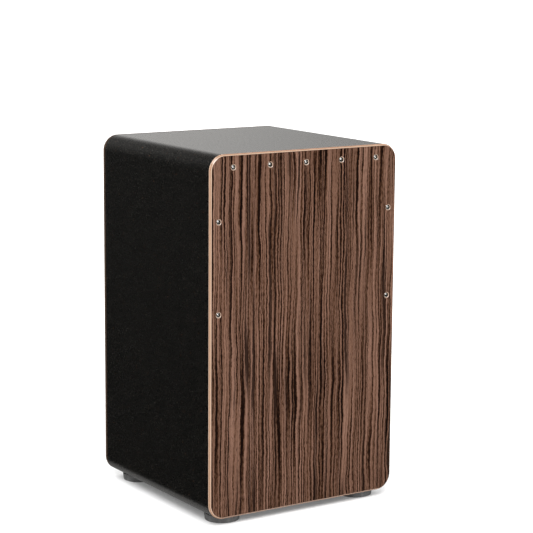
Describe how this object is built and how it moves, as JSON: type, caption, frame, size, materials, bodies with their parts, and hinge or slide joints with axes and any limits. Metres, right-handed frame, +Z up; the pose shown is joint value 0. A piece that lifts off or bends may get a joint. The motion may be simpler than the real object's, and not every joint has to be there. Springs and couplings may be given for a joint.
{
  "type": "cajon",
  "caption": "Wooden box drum on rubber feet: rounded black box, screwed striped front plate, rear sound hole, and a snare inside that swings off the front plate by a lever.",
  "frame": {"origin": "on the floor under the middle of the box, at the undersides of the feet", "axes": "+Z up along the height; -Y is the struck front plate and +Y the back with the sound hole; +X is to the right of someone facing the front plate"},
  "size_m": [0.3, 0.29, 0.5],
  "materials": {
    "black_lacquer": "black satin lacquer on plywood and solid wood",
    "veneer": "satin dark brown fineline veneer on three-ply birch",
    "light_wood": "bare sanded",
    "beech": "bare sanded beech",
    "rubber": "moulded, matt",
    "bright_steel": "bright plated steel",
    "snare_wire": "plated spring wire",
    "knob": "moulded black"
  },
  "bodies": {
    "box": {"seat_panel": "black_lacquer", "base_panel": "black_lacquer", "left_side_panel": "black_lacquer", "right_side_panel": "black_lacquer", "top_left_corner_post": "black_lacquer", "top_right_corner_post": "black_lacquer", "bottom_left_corner_post": "black_lacquer", "bottom_right_corner_post": "black_lacquer", "back_panel": "black_lacquer", "tapa": "veneer", "front_top_batten": "light_wood", "front_bottom_batten": "light_wood", "front_left_batten": "light_wood", "front_right_batten": "light_wood", "rear_top_batten": "light_wood", "rear_bottom_batten": "light_wood", "rear_left_batten": "light_wood", "rear_right_batten": "light_wood", "left_snare_bracket": "light_wood", "right_snare_bracket": "light_wood", "front_left_foot": "rubber", "front_right_foot": "rubber", "rear_left_foot": "rubber", "rear_right_foot": "rubber", "tapa_screw_1": "bright_steel", "tapa_screw_2": "bright_steel", "tapa_screw_3": "bright_steel", "tapa_screw_4": "bright_steel", "tapa_screw_5": "bright_steel", "tapa_screw_6": "bright_steel", "tapa_screw_7": "bright_steel", "tapa_screw_8": "bright_steel", "tapa_screw_9": "bright_steel", "front_left_washer": "bright_steel", "front_right_washer": "bright_steel", "rear_left_washer": "bright_steel", "rear_right_washer": "bright_steel", "front_left_foot_screw": "bright_steel", "front_right_foot_screw": "bright_steel", "rear_left_foot_screw": "bright_steel", "rear_right_foot_screw": "bright_steel", "left_upper_bracket_screw": "bright_steel", "left_lower_bracket_screw": "bright_steel", "right_upper_bracket_screw": "bright_steel", "right_lower_bracket_screw": "bright_steel"},
    "snare_assembly": {"snare_bar": "beech", "snare_lever": "beech", "lever_knob": "knob", "left_snare": "snare_wire", "right_snare": "snare_wire", "left_clamp_strip": "bright_steel", "right_clamp_strip": "bright_steel", "left_left_clamp_screw": "bright_steel", "left_right_clamp_screw": "bright_steel", "right_left_clamp_screw": "bright_steel", "right_right_clamp_screw": "bright_steel"}
  },
  "joints": [
    {"name": "snare_swing", "type": "hinge", "parent": "box", "child": "snare_assembly", "pos_m": [0, -0.1079, 0.33], "axis": [-1, 0, 0], "range_deg": [0, 20]}
  ]
}
